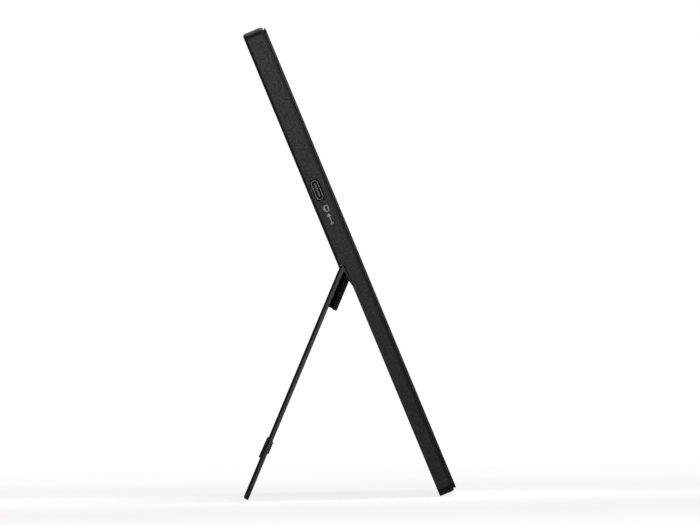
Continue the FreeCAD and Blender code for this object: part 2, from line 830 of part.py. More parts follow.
def make_boards():
    board = new_body("main_board", "slab")
    pad(board, "board", "Y", board_front, board_back, rectangle(board_left, board_right, board_low, board_top))
    gap = s.port_width / 2 + s.port_clear
    cut(board, "port_gap", "Y", board_front - overshoot, board_back + overshoot,
        rectangle(board_left - overshoot, port_back + s.port_clear, port_z - gap, port_z + gap))
    hole = s.screw_radius + s.screw_fit
    cut(board, "board_holes", "Y", board_front - overshoot, board_back + overshoot,
        *[(x, z, hole) for x, z in board_bosses])
    # metal can over the processor
    can = new_body("shield_can", "slab")
    x = port_back + s.shield_inboard
    z = port_z + s.shield_above_port
    half = s.shield_size / 2
    inner = half - s.shield_wall
    can_back = board_back + s.shield_tall
    pad(can, "can", "Y", board_back, can_back, rectangle(x - half, x + half, z - half, z + half))
    cut(can, "can_hollow", "Y", board_back, can_back - s.shield_wall,
        rectangle(x - inner, x + inner, z - inner, z + inner))
    # processor under the can, and a row of coils below it
    chip = s.processor_size / 2
    solids = [box("processor", x - chip, x + chip, board_back, board_back + s.processor_thick, z - chip, z + chip)]
    coil_top = z - half - s.coil_gap
    for number in range(coil_count):
        left = x - half + (s.coil_size + s.coil_gap) * number
        solids.append(box("coil_%d" % (number + 1), left, left + s.coil_size, board_back, board_back + s.coil_thick,
                          coil_top - s.coil_size, coil_top))
    group("board_chips", solids, "slab")


def make_cables():
    half_plug = s.plug_width / 2
    half_key_plug = s.key_cable_width / 2 + s.plug_edge
    key_cable_z = axis_z + s.key_cable_above_hinge
    key_plug_right = board_right - s.plug_edge
    group("cable_connectors", [
        box("upper_plug", cable_x - half_plug, cable_x + half_plug, board_front - s.plug_tall, board_front,
            cable_top, cable_top + s.plug_deep),
        box("lower_plug", cable_x - half_plug, cable_x + half_plug, driver_back, driver_back + s.plug_tall,
            cable_low - s.plug_deep, cable_low),
        box("key_plug", key_plug_right - s.plug_deep, key_plug_right, board_front - s.plug_tall, board_front,
            key_cable_z - half_key_plug, key_cable_z + half_key_plug),
    ], "slab")
    # ribbon from the main board down behind the screen to the driver board
    ribbon = new_body("display_cable", "slab")
    half_thick = s.cable_thick / 2
    upper_y = board_front - s.plug_tall / 2
    lower_y = driver_back + s.plug_tall / 2
    bend_top = panel_low + s.cable_bend
    bend_low = cable_low + s.plug_edge
    levels = [(upper_y, cable_top), (upper_y, bend_top), (lower_y, bend_low), (lower_y, cable_low)]
    profile = [(y - half_thick, z) for y, z in levels] + [(y + half_thick, z) for y, z in reversed(levels)]
    pad(ribbon, "ribbon", "X", cable_x - s.cable_width / 2, cable_x + s.cable_width / 2, profile)
    # flex that lies on the screen's tray, from the main board to the button board
    flex = new_body("key_cable", "slab")
    thick = s.key_cable_thick
    start_y = board_front - s.plug_tall / 2
    end_y = key_board_front - thick
    lap = key_board_in + s.key_cable_lap
    route = [
        (key_plug_right, start_y),
        (key_plug_right + s.plug_edge, start_y),
        (key_plug_right + s.plug_edge + s.cable_bend, tray_back),
        (key_board_in - s.cable_bend, tray_back),
        (key_board_in, end_y),
        (lap, end_y),
    ]
    profile = route + [(x, y + thick) for x, y in reversed(route)]
    pad(flex, "flex", "Z", key_cable_z - s.key_cable_width / 2, key_cable_z + s.key_cable_width / 2, profile)


def make_port():
    half_y = s.port_thick / 2
    half_z = s.port_width / 2
    shell = new_body("usb_c_shell", "slab")
    pad(shell, "sleeve", "X", port_mouth, port_back,
        rounded(port_y - half_y, port_y + half_y, port_z - half_z, port_z + half_z, s.port_corner))
    # wings that sit on the board
    wing = half_z + s.port_wing
    wing_left = board_left + s.port_clear
    pad(shell, "wings", "Y", board_back, board_back + s.port_wall,
        rectangle(wing_left, port_back, port_z - wing, port_z + wing))
    in_y = half_y - s.port_wall
    in_z = half_z - s.port_wall
    cut(shell, "throat", "X", port_mouth - overshoot, port_back + overshoot,
        rounded(port_y - in_y, port_y + in_y, port_z - in_z, port_z + in_z, s.port_corner - s.port_wall))
    # plastic blade on a root that fills the back of the sleeve
    blade = new_body("usb_c_tongue", "slab")
    fit_y = in_y - s.port_fit
    fit_z = in_z - s.port_fit
    root_front = port_back - s.blade_root
    pad(blade, "root", "X", root_front, port_back,
        rounded(port_y - fit_y, port_y + fit_y, port_z - fit_z, port_z + fit_z, s.port_corner - s.port_wall))
    blade_y = s.blade_thick / 2
    blade_z = s.blade_width / 2
    blade_front = port_mouth + s.blade_set_back
    pad(blade, "blade", "X", blade_front, root_front + s.port_wall,
        rectangle(port_y - blade_y, port_y + blade_y, port_z - blade_z, port_z + blade_z))
    # rows of contacts on both faces of the blade
    contacts = new_body("usb_c_contacts", "slab")
    for name, y_low in (("front_row", port_y - blade_y - s.contact_thick), ("back_row", port_y + blade_y)):
        rows = []
        for number in range(contact_count):
            z = port_z + s.contact_pitch * (number - (contact_count - 1) / 2)
            rows.append(rectangle(root_front - s.contact_length, root_front, z - s.contact_width / 2,
                                  z + s.contact_width / 2))
        pad(contacts, name, "Y", y_low, y_low + s.contact_thick, *rows)


def make_buttons():
    for name, z in zip(key_names, key_zs):
        cap = new_body(name, "slab")
        half_y = s.key_width / 2
        half_z = s.key_length / 2
        face = half_width + s.key_proud
        pad(cap, name + "_cap", "X", flange_out, face,
            rounded(port_y - half_y, port_y + half_y, z - half_z, z + half_z, s.key_corner))
        fillet(cap, name + "_edge", s.key_round, edges_at(X=face))
        flange_y = half_y + s.key_flange_edge
        flange_z = half_z + s.key_flange_edge
        pad(cap, name + "_flange", "X", flange_in, flange_out,
            rounded(port_y - flange_y, port_y + flange_y, z - flange_z, z + flange_z, s.key_corner))
        pad(cap, name + "_stem", "X", stem_in, flange_in, (port_y, z, s.key_stem_radius))
    board = new_body("key_board", "slab")
    pad(board, "key_strip", "Y", key_board_front, key_board_back,
        rectangle(key_board_in, switch_out, key_zs[0] - s.key_board_end, key_zs[-1] + s.key_board_end))
    hole = s.screw_radius + s.screw_fit
    cut(board, "key_strip_holes", "Y", key_board_front - overshoot, key_board_back + overshoot,
        *[(x, z, hole) for x, z in key_bosses])
    switches = new_body("key_switches", "slab")
    half_switch = s.switch_length / 2
    pad(switches, "switches", "Y", key_board_back, key_board_back + s.switch_tall,
        *[rectangle(switch_in, switch_out, z - half_switch, z + half_switch) for z in key_zs])


def make_hinges():
    for side, sense in sides:
        x = s.hinge_spread * sense
        low = x - hinge_half
        high = x + hinge_half
        # bracket in the slab: a leaf rolled into the middle knuckle
        bracket = new_body("hinge_bracket_" + side, "slab")
        pad(bracket, "fixed_knuckle_" + side, "X", x - fixed_half, x + fixed_half, (axis_y, axis_z, fixed_radius))
        pad(bracket, "bracket_leaf_" + side, "Y", bracket_front, bracket_back,
            rectangle(x - fixed_half, x + fixed_half, axis_z, bracket_top))
        cut(bracket, "fixed_bore_" + side, "X", x - fixed_half, x + fixed_half, (axis_y, axis_z, bore_radius))
        hole = s.screw_radius + s.screw_fit
        cut(bracket, "bracket_holes_" + side, "Y", bracket_front, bracket_back,
            *[(u, v, hole) for u, v in bracket_screw_places() if (u.value > 0) == (sense > 0)])
        # leaf let into the flap, rolled into the two outer knuckles
        leaf = new_body("hinge_leaf_" + side, "stand")
        pad(leaf, "leaf_" + side, "Y", plate_in, leaf_face, rectangle(low, high, -s.leaf_length, 0))
        cut(leaf, "leaf_gap_" + side, "Y", plate_in, leaf_face,
            rectangle(x - moving_start, x + moving_start, -notch_depth, overshoot))
        pad(leaf, "near_knuckle_" + side, "X", low, x - moving_start, (0, 0, knuckle_radius))
        pad(leaf, "far_knuckle_" + side, "X", x + moving_start, high, (0, 0, knuckle_radius))
        cut(leaf, "moving_bore_" + side, "X", low, high, (0, 0, bore_radius))
        cut(leaf, "leaf_holes_" + side, "Y", plate_in, leaf_face,
            *[(u, v, hole) for u, v in leaf_screw_places() if (u.value > 0) == (sense > 0)])
        pin = new_body("hinge_pin_" + side, "stand")
        pad(pin, "pin_" + side, "X", low - s.pin_end, high + s.pin_end, (0, 0, s.pin_radius))
        fillet(pin, "pin_ends_" + side, s.pin_bevel, lambda edge: True)
        make_hinge_block(side, x, sense)
    # friction washers between the knuckles
    washers = []
    side_gap = (s.knuckle_gap - s.washer_thick) / 2
    for side, sense in sides:
        for way, start in (("near", -moving_start + side_gap), ("far", fixed_half + side_gap)):
            name = "washer_%s_%s" % (side, way)
            left = s.hinge_spread * sense + start
            ring = doc.addObject("Part::Cut", name)
            ring.Base = cylinder(name + "_disc", "X", knuckle_radius, s.washer_thick, left, 0, 0)
            ring.Tool = cylinder(name + "_hole", "X", bore_radius, s.washer_thick, left, 0, 0)
            washers.append(ring)
    group("hinge_washers", washers, "stand")


def make_hinge_block(side, x, sense):
    # A cap that stands off the flap on a narrower base, with a cheek as wide as the cap near the hinge
    block = new_body("hinge_block_" + side, "stand")
    half = s.block_width / 2
    cap_in = block_face + s.block_cap
    pad(block, "block_cap_" + side, "Y", block_face, cap_in, rectangle(x - half, x + half, block_low, -s.block_top))
    fillet(block, "block_edges_" + side, s.block_round, edges_at(Y=block_face))
    base = half - s.block_step
    pad(block, "block_base_" + side, "Y", cap_in, plate_in,
        rectangle(x - base, x + base, block_low + s.block_toe, -s.block_top))
    cheek_top = -s.block_top - s.block_cheek_drop
    pad(block, "block_cheek_" + side, "Y", cap_in, plate_in,
        rectangle(x - half, x + half, cheek_top - s.block_cheek, cheek_top))
    # hollow that clears the knuckles
    cut(block, "block_scoop_" + side, "X", x - half, x + half, (0, 0, fixed_radius + s.block_scoop))
    places = [place for place in leaf_screw_places() if (place[0].value > 0) == (sense > 0)]
    cut(block, "block_holes_" + side, "Y", block_face, plate_in,
        *[(u, v, s.screw_radius + s.screw_fit) for u, v in places])
    cut(block, "block_sinks_" + side, "Y", block_face, block_face + s.screw_head_tall + s.screw_sink,
        *[(u, v, s.screw_head + s.screw_sink) for u, v in places])


def make_stand():
    body = new_body("stand_plate", "stand")
    pad(body, "sheet", "X", -stand_half, stand_half, rectangle(plate_in, plate_out, plate_end, 0))
    pad(body, "rolled_top", "X", -stand_half, stand_half, (0, 0, plate_out))
    fillet(body, "outer_edges", s.stand_edge,
           lambda edge: edges_at(Y=plate_out, X=stand_half)(edge) or edges_at(Y=plate_out, X=-stand_half)(edge))
    # notches for the knuckles, and beds for the leaves
    notch_half = hinge_half + s.pin_end + s.knuckle_gap
    cut(body, "knuckle_notches", "Y", plate_in - overshoot, plate_out + overshoot,
        *both(lambda x: rectangle(x - notch_half, x + notch_half, -notch_depth, plate_out + overshoot)))
    bed_half = hinge_half + s.leaf_fit
    cut(body, "leaf_beds", "Y", plate_in - overshoot, leaf_face,
        *both(lambda x: rectangle(x - bed_half, x + bed_half, -s.leaf_length - s.leaf_fit, 0)))
    cut(body, "leaf_threads", "Y", leaf_face - s.leaf_thick, leaf_face + s.screw_bite + s.screw_fit,
        *[(x, z, s.screw_radius + s.screw_fit) for x, z in leaf_screw_places()])
    # slot for the foot's key, and beds for the pads
    slot_half = s.foot_key_thick / 2 + s.foot_fit
    cut(body, "foot_slot", "X", -stand_half - overshoot, stand_half + overshoot,
        rectangle(-slot_half, slot_half, plate_end - overshoot, plate_end + s.foot_key + s.foot_fit))
    outer = s.outer_grip / 2
    cut(body, "outer_bed", "Y", plate_out - s.grip_seat, plate_out + overshoot,
        rectangle(-grip_half, grip_half, grip_z - outer, grip_z + outer))
    inner = s.inner_grip / 2
    cut(body, "inner_bed", "Y", plate_in - overshoot, plate_in + s.grip_seat,
        rectangle(-grip_half, grip_half, inner_grip_z - inner, inner_grip_z + inner))
    make_foot()
    make_grips(outer, inner)


def make_foot():
    foot = new_body("foot_strip", "stand")
    pad(foot, "strip", "Y", plate_in, plate_out,
        [(stand_half, plate_end), (-stand_half, plate_end), (-stand_half, s.foot_corner - reach),
         (s.foot_corner - stand_half, -reach, s.foot_corner, 1), (stand_half - s.foot_corner, -reach),
         (stand_half, s.foot_corner - reach, s.foot_corner, 1)])
    fillet(foot, "toe", s.foot_round, lambda edge: edges_at(Y=plate_out)(edge) and below(plate_end)(edge))
    half_key = s.foot_key_thick / 2
    pad(foot, "foot_key", "X", -stand_half, stand_half,
        rectangle(-half_key, half_key, plate_end, plate_end + s.foot_key))


def below(size):
    return lambda edge: edge.BoundBox.ZMin < size.value - same_plane and edge.BoundBox.ZMax < size.value + same_plane


def make_grips(outer, inner):
    wedge = new_body("grip_outer", "stand")
    bed = plate_out - s.grip_seat
    top = grip_z + outer
    low = grip_z - outer
    pad(wedge, "wedge", "X", -grip_half, grip_half,
        [(bed, low), (plate_out + s.outer_grip_low, low), (plate_out + s.outer_grip_top, top), (bed, top)])
    fillet(wedge, "wedge_edges", s.grip_round, lambda edge: edge.BoundBox.YMin > plate_out.value + same_plane)
    bar = new_body("grip_inner", "stand")
    bar_face = plate_in - s.inner_grip_proud
    pad(bar, "bar", "Y", bar_face, plate_in + s.grip_seat,
        rectangle(-grip_half, grip_half, inner_grip_z - inner, inner_grip_z + inner))
    fillet(bar, "bar_edges", s.grip_round, edges_at(Y=bar_face))


def make_screws():
    small = (s.screw_radius, s.screw_head, s.screw_head_tall)
    screws("shell_screws", [(x, chin_boss_z) for x in chin_boss_xs], floor_back - s.screw_sink, -1,
           s.shell_screw_radius, s.shell_screw_head, s.shell_screw_head_tall,
           floor_back - s.screw_sink - s.shell_screw_head_tall - shell_screw_tip(), "slab")
    through = s.board_thick + s.board_screw_bite
    screws("board_screws", board_bosses, board_front - s.screw_head_tall, 1, *small, through, "slab")
    screws("key_board_screws", key_bosses, key_board_front - s.screw_head_tall, 1, *small, through, "slab")
    screws("bracket_screws", bracket_screw_places(), bracket_front - s.screw_head_tall, 1, *small,
           s.leaf_thick + s.screw_bite, "slab")
    sunk = block_face + s.screw_sink
    screws("leaf_screws", leaf_screw_places(), sunk, 1, *small,
           leaf_face + s.screw_bite - sunk - s.screw_head_tall, "stand")


def standing_pose():
    # The slab leans back until its heel and the flap's foot rest on one floor
    opening = math.radians(s.stand_open.value)
    heel_round = s.heel_round.value
    foot_round = s.foot_round.value
    heel = (floor_back.value - heel_round, heel_round)
    foot_y = plate_out.value - foot_round
    foot_z = foot_round - reach.value
    foot = (axis_y.value + foot_y * math.cos(opening) - foot_z * math.sin(opening),
            axis_z.value + foot_y * math.sin(opening) + foot_z * math.cos(opening))
    span = math.hypot(foot[0] - heel[0], foot[1] - heel[1])
    lean = math.atan2(foot[1] - heel[1], foot[0] - heel[0]) - math.asin((foot_round - heel_round) / span)

    def back(y, z):
        return y * math.cos(lean) + z * math.sin(lean)

    floor = heel[1] * math.cos(lean) - heel[0] * math.sin(lean) - heel_round
    nose = s.bezel_round.value
    front = back(nose, s.bezel_inset.value + nose) - nose
    crown = s.back_round.value
    rear = max(back(*foot) + foot_round, back(depth.value - crown, height.value - crown) + crown)
    x_axis = FreeCAD.Vector(1, 0, 0)
    slab = FreeCAD.Placement(FreeCAD.Vector(0, -(front + rear) / 2, -floor),
                             FreeCAD.Rotation(x_axis, -math.degrees(lean)))
    swing = FreeCAD.Placement(FreeCAD.Vector(0, axis_y.value, axis_z.value),
                              FreeCAD.Rotation(x_axis, s.stand_open.value))
    return {"slab": slab, "stand": slab.multiply(swing)}, math.degrees(lean)


def tell_places(places, lean):
    spots = {
        "hinge axis": (0, axis_y, axis_z),
        "back face": (0, depth, (deep_z + height) / 2),
        "port mouth": (port_mouth, port_y, port_z),
        "screen centre": (0, cell_front, s.chin_border + s.active_height / 2),
    }
    print("lean %.4f degrees, opening %.2f degrees" % (lean, s.stand_open.value))
    print("slab %.2f x %.2f x %.2f" % (width.value, height.value, depth.value))
    for name, spot in spots.items():
        placed = places["slab"].multVec(FreeCAD.Vector(*[as_size(size).value for size in spot]))
        print("%s %.4f %.4f %.4f" % (name, placed.x, placed.y, placed.z))
    for name, z in zip(key_names, key_zs):
        placed = places["slab"].multVec(FreeCAD.Vector(half_width.value, port_y.value, z.value))
        print("%s %.4f %.4f %.4f" % (name, placed.x, placed.y, placed.z))


make_rear_shell()
make_front_bezel()
make_screen()
make_panel_pads()
make_driver()
make_boards()
make_cables()
make_port()
make_buttons()
make_hinges()
make_stand()
make_screws()

places, lean = standing_pose()
for piece, frame in pieces:
    piece.Placement = places[frame]
doc.recompute()

failed = [item.Label for item in doc.Objects if {"Invalid", "Error"} & set(item.State)]
if failed:
    raise RuntimeError("not built: " + ", ".join(failed))
for piece, _ in pieces:
    if piece.Shape.isNull() or not piece.Shape.isValid() or not piece.Shape.Solids:
        raise RuntimeError("no sound solid: " + piece.Label)

os.makedirs("parts", exist_ok=True)
for piece, _ in pieces:
    piece.Shape.exportStep("parts/%s.step" % piece.Label)
tell_places(places, lean)
print("%d pieces" % len(pieces))
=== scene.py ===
import bpy
import bmesh
import json
import math
from mathutils import Matrix, Vector


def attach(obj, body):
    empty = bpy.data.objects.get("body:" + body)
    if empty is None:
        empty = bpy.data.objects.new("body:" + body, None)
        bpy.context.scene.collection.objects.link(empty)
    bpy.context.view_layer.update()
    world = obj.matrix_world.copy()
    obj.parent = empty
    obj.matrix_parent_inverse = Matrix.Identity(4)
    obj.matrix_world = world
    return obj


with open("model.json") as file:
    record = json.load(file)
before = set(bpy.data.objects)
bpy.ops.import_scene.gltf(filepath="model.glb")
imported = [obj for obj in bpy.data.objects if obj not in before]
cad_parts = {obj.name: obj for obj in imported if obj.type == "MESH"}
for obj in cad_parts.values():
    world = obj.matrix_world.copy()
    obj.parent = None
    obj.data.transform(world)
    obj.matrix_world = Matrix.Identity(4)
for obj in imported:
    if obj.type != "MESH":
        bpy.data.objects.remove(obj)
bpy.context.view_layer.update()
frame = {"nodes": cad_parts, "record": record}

nodes = frame["nodes"]
record = frame["record"]
mm = 0.001
widthAxis = (1, 0, 0)  # the hinge line runs along the slab's width
print("frame loaded:", len(nodes), "nodes")

# lean of the slab and the hinge line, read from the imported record
backMount = next(m for m in record["mounts"] if m["name"] == "back_face")
hingeJoint = next(j for j in record["behaviour"]["joints"] if j["name"] == "stand_hinge")
hingePlace = hingeJoint["pos_m"]
lean = math.atan2(-backMount["axis"][2], backMount["axis"][1])
opening = math.radians(45.2)  # the flap stands open by this much at rest
slab = {"width": 360.0, "depth": 10.8, "hingeDepth": 9.6, "hingeHeight": 111.8}  # mm
hingeLocal = Vector((0, slab["hingeDepth"], slab["hingeHeight"])) * mm
slabMatrix = (Matrix.Translation(hingePlace) @ Matrix.Rotation(-lean, 4, "X")
              @ Matrix.Translation(-hingeLocal))


# shader helpers

floatSocket = "NodeSocketFloat"
vectorSocket = "NodeSocketVector"
mixSockets = {"first": 6, "second": 7, "result": 2}  # where a Mix node keeps its colours


def newMaterial(name):
    material = bpy.data.materials.new(name)
    material.use_nodes = True
    tree = material.node_tree
    return material, tree, tree.nodes["Principled BSDF"]


def addNode(tree, kind, **settings):
    node = tree.nodes.new(kind)
    for key, value in settings.items():
        if key in node.inputs:
            node.inputs[key].default_value = value
        else:
            setattr(node, key, value)
    return node


def newGroup(name, inputs, outputs):
    tree = bpy.data.node_groups.new(name, "ShaderNodeTree")
    for label, value in inputs.items():
        kind = vectorSocket if isinstance(value, tuple) else floatSocket
        socket = tree.interface.new_socket(label, in_out="INPUT", socket_type=kind)
        socket.default_value = value
    for label, kind in outputs.items():
        tree.interface.new_socket(label, in_out="OUTPUT", socket_type=kind)
    return tree, tree.nodes.new("NodeGroupInput"), tree.nodes.new("NodeGroupOutput")


def useGroup(tree, group, **values):
    node = tree.nodes.new("ShaderNodeGroup")
    node.node_tree = group
    for label, value in values.items():
        node.inputs[label].default_value = value
    return node


# another node's output is linked, a plain value is set
def feed(tree, socket, value):
    if isinstance(value, bpy.types.NodeSocket):
        tree.links.new(value, socket)
    else:
        socket.default_value = value


def mathNode(tree, operation, first, second=0.0, clamp=False):
    node = addNode(tree, "ShaderNodeMath", operation=operation, use_clamp=clamp)
    feed(tree, node.inputs[0], first)
    feed(tree, node.inputs[1], second)
    return node.outputs[0]


def vectorNode(tree, operation, first, second=(0, 0, 0)):
    node = addNode(tree, "ShaderNodeVectorMath", operation=operation)
    feed(tree, node.inputs[0], first)
    feed(tree, node.inputs[1], second)
    return node.outputs["Value" if operation in ("DOT_PRODUCT", "LENGTH") else "Vector"]


def mixColour(tree, factor, first, second):
    node = addNode(tree, "ShaderNodeMix", data_type="RGBA")
    tree.links.new(factor, node.inputs["Factor"])
    for key, value in (("first", first), ("second", second)):
        feed(tree, node.inputs[mixSockets[key]], (*value, 1) if isinstance(value, tuple) else value)
    return node.outputs[mixSockets["result"]]


def objectPlace(tree):
    return tree.nodes.new("ShaderNodeTexCoord").outputs["Object"]


def objectNormal(tree):
    return tree.nodes.new("ShaderNodeTexCoord").outputs["Normal"]


def noiseNode(tree, place, scale, **settings):
    node = addNode(tree, "ShaderNodeTexNoise", **settings)
    feed(tree, node.inputs["Vector"], place)
    feed(tree, node.inputs["Scale"], scale)
    return node.outputs[0]


# rises smoothly from base at low to 1 at high
def smoothRamp(tree, value, low, high, base=0.0):
    ramp = addNode(tree, "ShaderNodeMapRange", interpolation_type="SMOOTHSTEP")
    for label, number in (("From Min", low), ("From Max", high), ("To Min", base)):
        ramp.inputs[label].default_value = number
    tree.links.new(value, ramp.inputs["Value"])
    return ramp.outputs["Result"]


# moulded grain: a height for bump and a tone that flecks the colour
def makeGrainGroup():
    look = {"detail": 3.0, "roughness": 0.65, "pitScale": 0.6, "pitShare": 0.5, "toneStart": 0.38,
            "toneGain": 3.2}
    tree, into, out = newGroup("surfaceGrain", {"Frequency": 2500.0, "Fleck": 0.5},
                               {"Height": floatSocket, "Tone": floatSocket})
    frequency = into.outputs["Frequency"]
    place = objectPlace(tree)
    fine = noiseNode(tree, place, frequency, Detail=look["detail"], Roughness=look["roughness"])
    coarse = addNode(tree, "ShaderNodeTexVoronoi", feature="SMOOTH_F1")
    tree.links.new(place, coarse.inputs["Vector"])
    tree.links.new(mathNode(tree, "MULTIPLY", frequency, look["pitScale"]), coarse.inputs["Scale"])
    pits = mathNode(tree, "MULTIPLY", coarse.outputs["Distance"], look["pitShare"])
    tree.links.new(mathNode(tree, "ADD", fine, pits), out.inputs["Height"])
    above = mathNode(tree, "SUBTRACT", fine, look["toneStart"])
    lifted = mathNode(tree, "MULTIPLY", above, look["toneGain"], clamp=True)
    tree.links.new(mathNode(tree, "MULTIPLY", lifted, into.outputs["Fleck"]), out.inputs["Tone"])
    return tree


# edges worn by hands and bags, and painted shade where the edge colour is darker than the part (casing,
# bezel, stand), with a softened normal over every sharp edge
def makeEdgeGroup():
    look = {"samples": 6, "gain": 3.0, "patchDetail": 4.0}
    tree, into, out = newGroup("edgeWearAndShade", {"Radius": 0.0003, "Breakup": 900.0},
                               {"WearAndShade": floatSocket, "Normal": vectorSocket})
    soft = addNode(tree, "ShaderNodeBevel", samples=look["samples"])
    tree.links.new(into.outputs["Radius"], soft.inputs["Radius"])
    flat = tree.nodes.new("ShaderNodeNewGeometry").outputs["Normal"]
    turned = mathNode(tree, "SUBTRACT", 1.0, vectorNode(tree, "DOT_PRODUCT", soft.outputs[0], flat))
    bent = mathNode(tree, "MULTIPLY", turned, look["gain"], clamp=True)
    patches = noiseNode(tree, objectPlace(tree), into.outputs["Breakup"], Detail=look["patchDetail"])
    tree.links.new(mathNode(tree, "MULTIPLY", bent, patches), out.inputs["WearAndShade"])
    tree.links.new(soft.outputs[0], out.inputs["Normal"])
    return tree


# painted shade on rounded edges: the mask is full where a surface faces between the part's own three
# directions
def makeRoundShadeGroup():
    look = {"start": 0.008, "full": 0.05}
    tree, into, out = newGroup("roundedEdgeShade", {"Depth": (0.0, 1.0, 0.0), "Height": (0.0, 0.0, 1.0)},
                               {"RoundShade": floatSocket})
    facing = objectNormal(tree)
    shares = [mathNode(tree, "ABSOLUTE", vectorNode(tree, "DOT_PRODUCT", facing, axis))
              for axis in (widthAxis, into.outputs["Depth"], into.outputs["Height"])]
    most = mathNode(tree, "MAXIMUM", mathNode(tree, "MAXIMUM", shares[0], shares[1]), shares[2])
    between = mathNode(tree, "SUBTRACT", 1.0, most)
    tree.links.new(smoothRamp(tree, between, look["start"], look["full"]), out.inputs["RoundShade"])
    return tree


# dust on the faces that look up the slab, together with painted top light that lightens them
def makeDustAndTopLightGroup():
    look = {"start": 0.55, "full": 0.85, "speckleDetail": 3.0, "leastCover": 0.35}
    tree, into, out = newGroup("dustAndPaintedTopLight", {"Height": (0.0, 0.0, 1.0), "Breakup": 700.0},
                               {"DustAndTopLight": floatSocket})
    rise = vectorNode(tree, "DOT_PRODUCT", objectNormal(tree), into.outputs["Height"])
    upward = smoothRamp(tree, rise, look["start"], look["full"])
    speckle = noiseNode(tree, objectPlace(tree), into.outputs["Breakup"], Detail=look["speckleDetail"])
    cover = mathNode(tree, "ADD", speckle, look["leastCover"], clamp=True)
    tree.links.new(mathNode(tree, "MULTIPLY", upward, cover), out.inputs["DustAndTopLight"])
    return tree


# a darker band on the part's ends: the mask is full past the given depth, measured from the hinge line
def makeEndBandGroup():
    look = {"endFacing": 0.3}
    tree, into, out = newGroup("darkEndBand", {"Depth": (0.0, 1.0, 0.0), "Origin": (0.0, 0.0, 0.0),
                                            "Start": 0.0, "Blend": 0.0001}, {"Layer": floatSocket})
    offset = vectorNode(tree, "SUBTRACT", objectPlace(tree), into.outputs["Origin"])
    reach = vectorNode(tree, "DOT_PRODUCT", offset, into.outputs["Depth"])
    past = mathNode(tree, "SUBTRACT", reach, into.outputs["Start"])
    share = mathNode(tree, "DIVIDE", past, into.outputs["Blend"], clamp=True)
    side = mathNode(tree, "ABSOLUTE", vectorNode(tree, "DOT_PRODUCT", objectNormal(tree), widthAxis))
    onEnd = mathNode(tree, "GREATER_THAN", side, look["endFacing"])
    tree.links.new(mathNode(tree, "MULTIPLY", share, onEnd), out.inputs["Layer"])
    return tree


# slow change of gloss from handling and from moulding flow
def makeHazeGroup():
    look = {"detail": 5.0, "roughness": 0.55, "distortion": 0.4, "middle": 0.5}
    tree, into, out = newGroup("handlingHaze", {"Scale": 18.0, "Contrast": 1.0}, {"Haze": floatSocket})
    cloud = noiseNode(tree, objectPlace(tree), into.outputs["Scale"], Detail=look["detail"],
                      Roughness=look["roughness"], Distortion=look["distortion"])
    centred = mathNode(tree, "SUBTRACT", cloud, look["middle"])
    spread = mathNode(tree, "MULTIPLY", centred, into.outputs["Contrast"])
    tree.links.new(mathNode(tree, "ADD", spread, look["middle"], clamp=True), out.inputs["Haze"])
    return tree


# drawn or brushed metal: streaks along the part's width
def makeStreakGroup():
    look = {"scale": 1.0, "detail": 2.0}
    tree, into, out = newGroup("drawnStreaks", {"Across": 6000.0, "Along": 120.0}, {"Streak": floatSocket})
    spread = tree.nodes.new("ShaderNodeCombineXYZ")
    for socket, label in zip(spread.inputs, ("Along", "Across", "Across")):
        tree.links.new(into.outputs[label], socket)
    stretched = vectorNode(tree, "MULTIPLY", objectPlace(tree), spread.outputs[0])
    tree.links.new(noiseNode(tree, stretched, look["scale"], Detail=look["detail"]), out.inputs["Streak"])
    return tree


grainGroup = makeGrainGroup()
edgeGroup = makeEdgeGroup()
roundShadeGroup = makeRoundShadeGroup()
dustAndTopLightGroup = makeDustAndTopLightGroup()
endBandGroup = makeEndBandGroup()
hazeGroup = makeHazeGroup()
streakGroup = makeStreakGroup()
print("shader groups made")


# what every finish ends with: gloss that drifts, and relief over softened edges
def setSurface(tree, shader, look, height, edge):
    haze = useGroup(tree, hazeGroup, Scale=look["hazeScale"], Contrast=look.get("hazeContrast", 1.0))
    low, high = look["roughness"]
    drift = mathNode(tree, "MULTIPLY", haze.outputs["Haze"], high - low)
    tree.links.new(mathNode(tree, "ADD", drift, low), shader.inputs["Roughness"])
    bump = addNode(tree, "ShaderNodeBump", Distance=look["depth"])
    tree.links.new(height, bump.inputs["Height"])
    tree.links.new(edge.outputs["Normal"], bump.inputs["Normal"])
    tree.links.new(bump.outputs[0], shader.inputs["Normal"])


